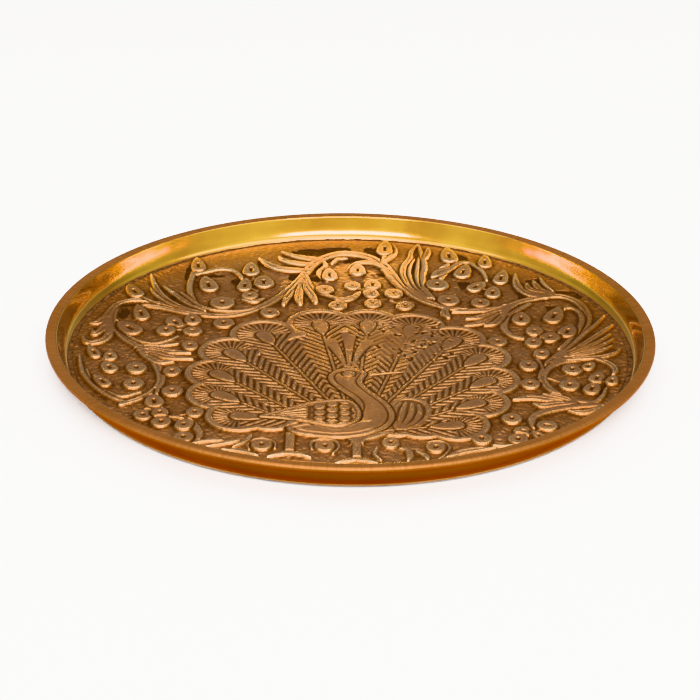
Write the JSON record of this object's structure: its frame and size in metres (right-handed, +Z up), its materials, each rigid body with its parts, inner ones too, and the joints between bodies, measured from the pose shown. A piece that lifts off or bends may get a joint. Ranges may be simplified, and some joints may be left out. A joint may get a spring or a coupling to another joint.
{
  "type": "round tray",
  "caption": "Shallow round brass tray with a thick flat rim, a polished inner wall and a raised peacock and vine pattern on its floor.",
  "frame": {"origin": "middle of the flat underside", "axes": "+Z up, out of the tray's mouth; -Y is the side below the bird's feet"},
  "size_m": [0.2, 0.2, 0.011],
  "materials": {
    "polished_brass": "polished, with a brushed rim",
    "antiqued_brass": "rubbed high spots over a dark patina",
    "blackened_solder": "rough and blackened"
  },
  "bodies": {
    "root": {"dish": "polished_brass", "relief_panel": "antiqued_brass", "solder_seam": "blackened_solder"}
  },
  "joints": []
}
